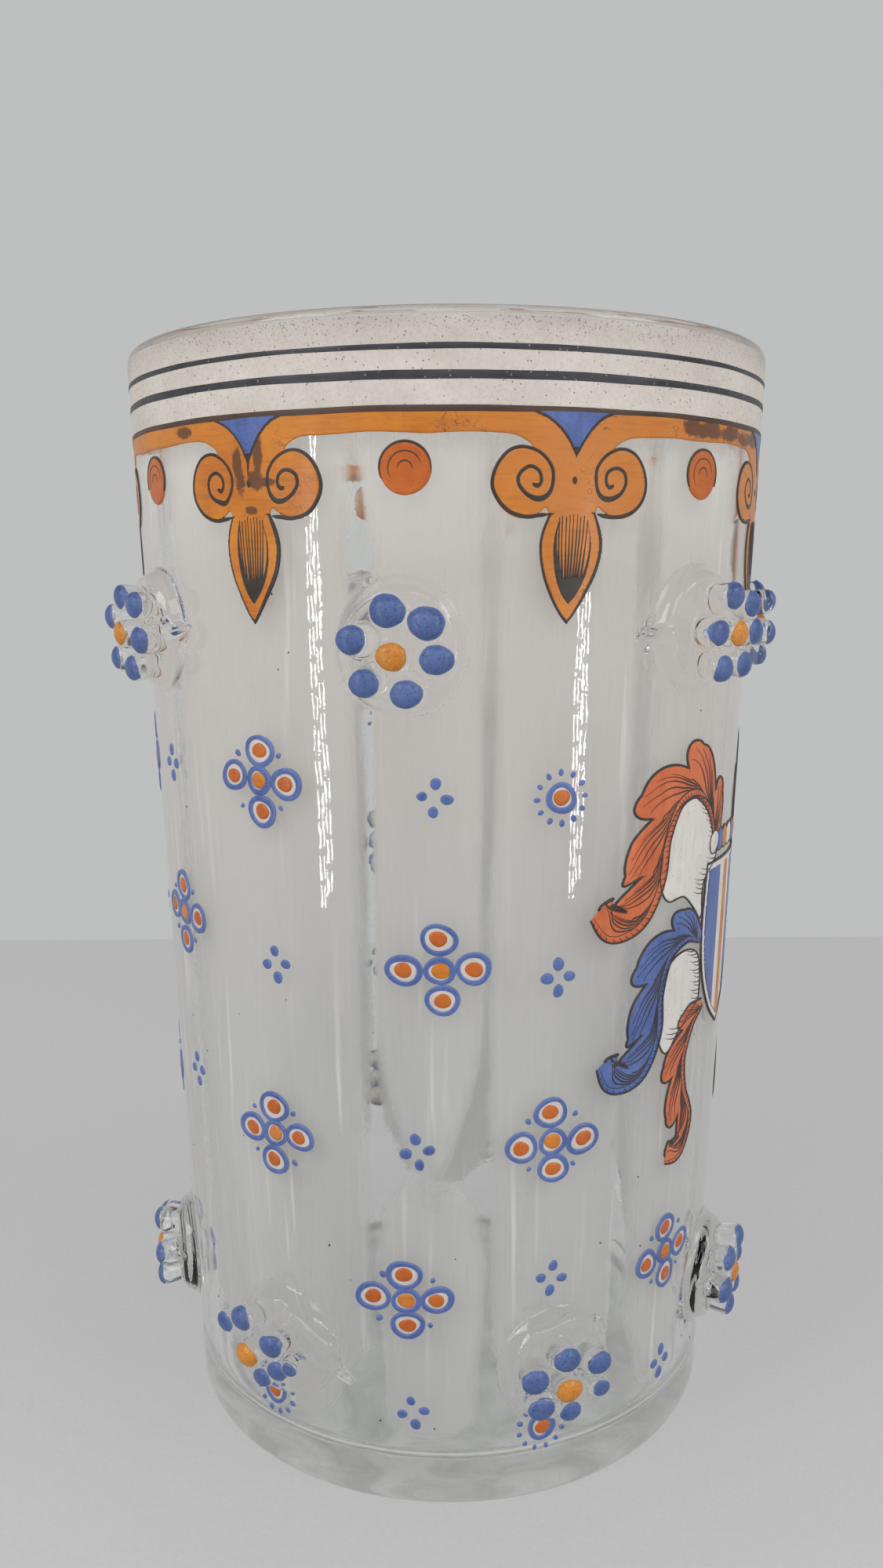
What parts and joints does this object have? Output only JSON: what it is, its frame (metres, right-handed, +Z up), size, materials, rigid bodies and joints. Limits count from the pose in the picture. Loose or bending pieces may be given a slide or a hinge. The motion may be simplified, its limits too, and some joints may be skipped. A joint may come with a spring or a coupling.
{
  "type": "enamelled glass vase",
  "caption": "Heavy flared glass beaker vase with milky streaks, two rows of raspberry prunts, and fired enamel bands, scroll pendants and roundels below the rim.",
  "frame": {"origin": "centre of the flat face that the vase rests on", "axes": "+Z up along the vase's axis, from the foot to the rim; -Y is the side that faces the picture's camera"},
  "size_m": [0.1398, 0.1398, 0.22],
  "materials": {
    "clear_glass": "fire-polished clear glass, faintly grey",
    "opal_glass": "milky translucent streaks",
    "pale_enamel": "speckled pale enamel with pinholes",
    "amber_enamel": "semi-gloss amber enamel, browned in places",
    "red_enamel": "semi-gloss orange-red enamel",
    "blue_enamel": "satin blue enamel on the prunt tips, triangles and florets",
    "black_enamel": "brown-black painted outlines and lines",
    "white_enamel": "matt white enamel"
  },
  "bodies": {
    "root": {"amber_band": "amber_enamel", "enamel_roundel_1": "red_enamel", "enamel_roundel_2": "red_enamel", "enamel_roundel_3": "red_enamel", "enamel_roundel_4": "red_enamel", "enamel_roundel_5": "red_enamel", "enamel_roundel_6": "red_enamel", "enamel_roundel_7": "red_enamel", "opal_short_streak": "opal_glass", "opal_streak_1": "opal_glass", "opal_streak_10": "opal_glass", "opal_streak_11": "opal_glass", "opal_streak_2": "opal_glass", "opal_streak_3": "opal_glass", "opal_streak_4": "opal_glass", "opal_streak_5": "opal_glass", "opal_streak_6": "opal_glass", "opal_streak_7": "opal_glass", "opal_streak_8": "opal_glass", "opal_streak_9": "opal_glass", "prunt_lower_1": "clear_glass", "prunt_lower_2": "clear_glass", "prunt_lower_3": "clear_glass", "prunt_lower_4": "clear_glass", "prunt_lower_5": "clear_glass", "prunt_lower_6": "clear_glass", "prunt_lower_7": "clear_glass", "prunt_upper_1": "clear_glass", "prunt_upper_2": "clear_glass", "prunt_upper_3": "clear_glass", "prunt_upper_4": "clear_glass", "prunt_upper_5": "clear_glass", "prunt_upper_6": "clear_glass", "prunt_upper_7": "clear_glass", "rim_enamel_band": "pale_enamel", "scroll_pendant_1": "amber_enamel", "scroll_pendant_2": "amber_enamel", "scroll_pendant_3": "amber_enamel", "scroll_pendant_4": "amber_enamel", "scroll_pendant_5": "amber_enamel", "scroll_pendant_6": "amber_enamel", "scroll_pendant_7": "amber_enamel", "vessel": "clear_glass"}
  },
  "joints": []
}
